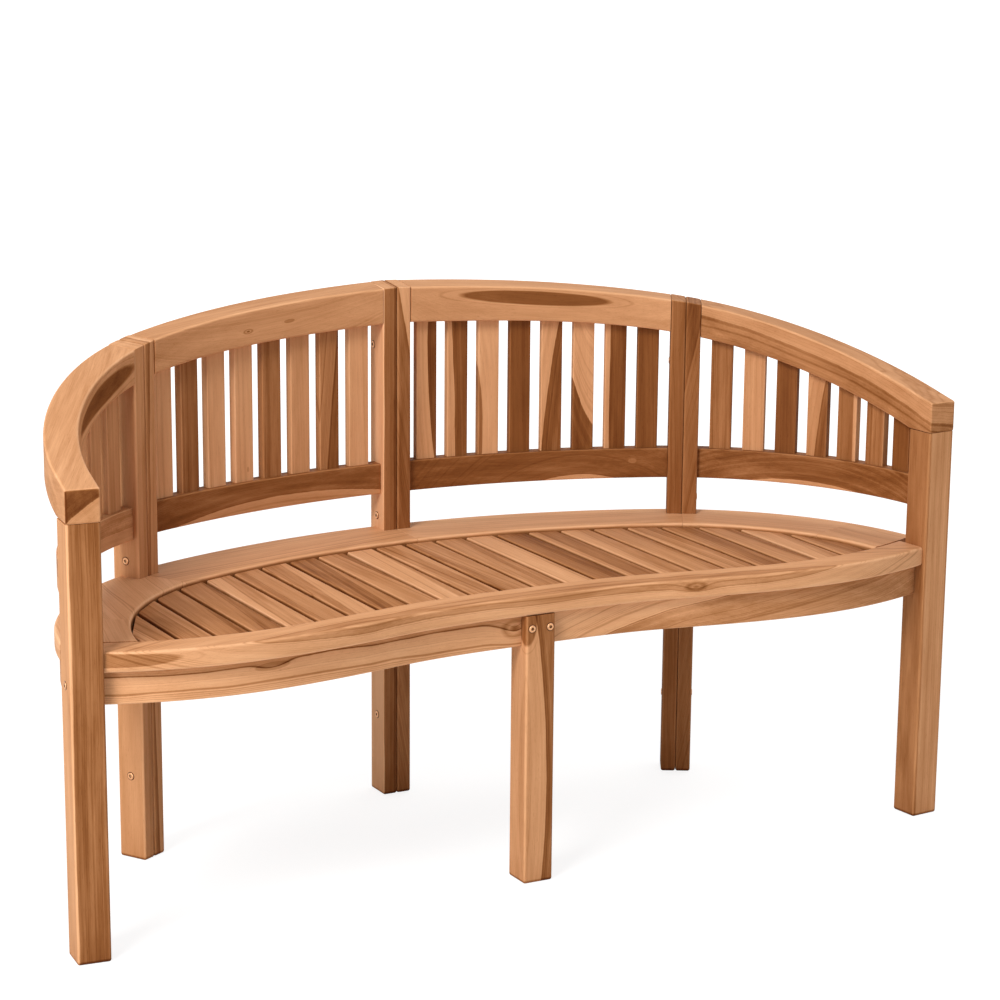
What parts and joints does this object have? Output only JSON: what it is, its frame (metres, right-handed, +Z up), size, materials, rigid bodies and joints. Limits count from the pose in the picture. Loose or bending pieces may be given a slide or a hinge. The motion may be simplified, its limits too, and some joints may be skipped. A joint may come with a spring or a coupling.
{
  "type": "curved garden bench",
  "caption": "Curved slatted teak garden bench for several sitters, its back and arms one continuous arch, with a lobed front edge on straight square legs.",
  "frame": {"origin": "on the floor, below the middle of the bench's bounding box", "axes": "+X toward the bench's right end as seen from the front, +Y toward its back, +Z up"},
  "size_m": [1.4994, 0.5805, 0.8595],
  "materials": {
    "teak": "planed and sanded, unoiled",
    "steel": "yellow passivated"
  },
  "bodies": {
    "root": {"back_centre_low_bolt": "steel", "back_centre_middle_bolt": "steel", "back_centre_post_left_half": "teak", "back_centre_post_right_half": "teak", "back_centre_top_bolt": "steel", "centre_bearer": "teak", "centre_seat_slat": "teak", "front_centre_left_bolt": "steel", "front_centre_post": "teak", "front_centre_right_bolt": "steel", "front_seat_board": "teak", "left_arm_lower_rail_with_slats": "teak", "left_arm_top_rail": "teak", "left_back_apron": "teak", "left_back_lower_rail_with_slats": "teak", "left_back_seat_board": "teak", "left_back_top_rail": "teak", "left_corner_post_inner_half": "teak", "left_corner_post_outer_half": "teak", "left_corner_seat_board": "teak", "left_front_apron": "teak", "left_front_post": "teak", "left_seat_slat_01": "teak", "left_seat_slat_02": "teak", "left_seat_slat_03": "teak", "left_seat_slat_04": "teak", "left_seat_slat_05": "teak", "left_seat_slat_06": "teak", "left_seat_slat_07": "teak", "left_seat_slat_08": "teak", "left_seat_slat_09": "teak", "left_seat_slat_10": "teak", "left_seat_slat_11": "teak", "left_side_apron": "teak", "left_side_seat_board": "teak", "right_arm_lower_rail_with_slats": "teak", "right_arm_top_rail": "teak", "right_back_apron": "teak", "right_back_lower_rail_with_slats": "teak", "right_back_seat_board": "teak", "right_back_top_rail": "teak", "right_corner_post_inner_half": "teak", "right_corner_post_outer_half": "teak", "right_corner_seat_board": "teak", "right_front_apron": "teak", "right_front_post": "teak", "right_seat_slat_01": "teak", "right_seat_slat_02": "teak", "right_seat_slat_03": "teak", "right_seat_slat_04": "teak", "right_seat_slat_05": "teak", "right_seat_slat_06": "teak", "right_seat_slat_07": "teak", "right_seat_slat_08": "teak", "right_seat_slat_09": "teak", "right_seat_slat_10": "teak", "right_seat_slat_11": "teak", "right_side_apron": "teak", "right_side_seat_board": "teak"}
  },
  "joints": []
}
